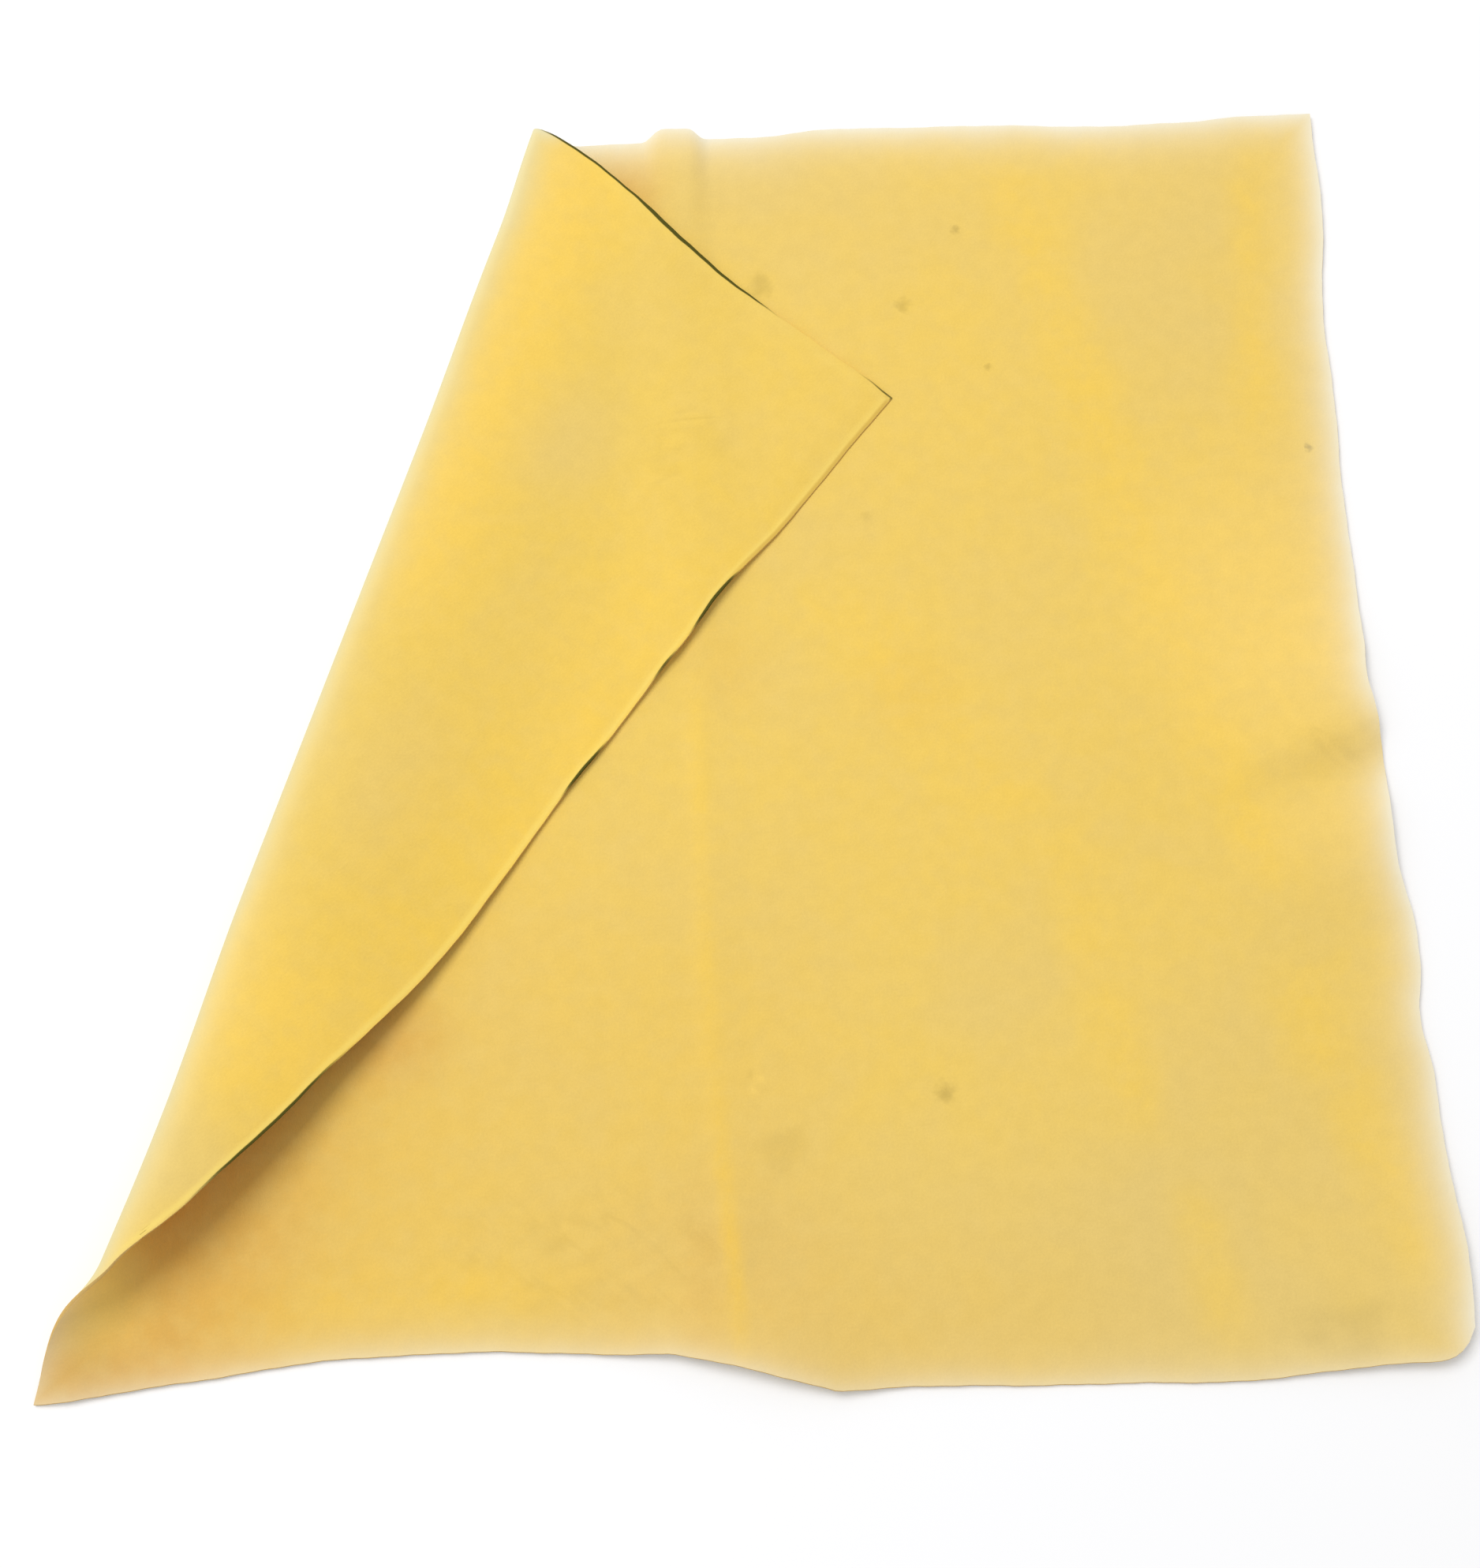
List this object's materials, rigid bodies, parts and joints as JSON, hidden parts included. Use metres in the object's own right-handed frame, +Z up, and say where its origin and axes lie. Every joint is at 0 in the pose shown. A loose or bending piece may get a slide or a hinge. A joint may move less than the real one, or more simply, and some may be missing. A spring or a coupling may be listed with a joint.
{
  "type": "chamois leather",
  "caption": "Soft yellow chamois leather for drying and polishing, hand-cut to a rough square and lying flat with a corner turned over along a rolled fold that opens.",
  "frame": {"origin": "on the table, under the middle of the folded leather's box", "axes": "+Z up from the table, +X to the right and +Y to the back, as the picture shows the leather from its front edge"},
  "size_m": [0.4058, 0.4028, 0.0225],
  "materials": {
    "chamois": "soft matt suede nap on both faces, yellow, with a raw cut edge"
  },
  "bodies": {
    "sheet": {"main_panel": "chamois"},
    "flap": {"turned_flap": "chamois"}
  },
  "joints": [
    {"name": "flap_fold", "type": "hinge", "parent": "sheet", "child": "flap", "pos_m": [-0.12709, -0.00175, 0.00775], "axis": [-0.337, -0.9413, 0.0223], "range_deg": [0, 178]}
  ]
}
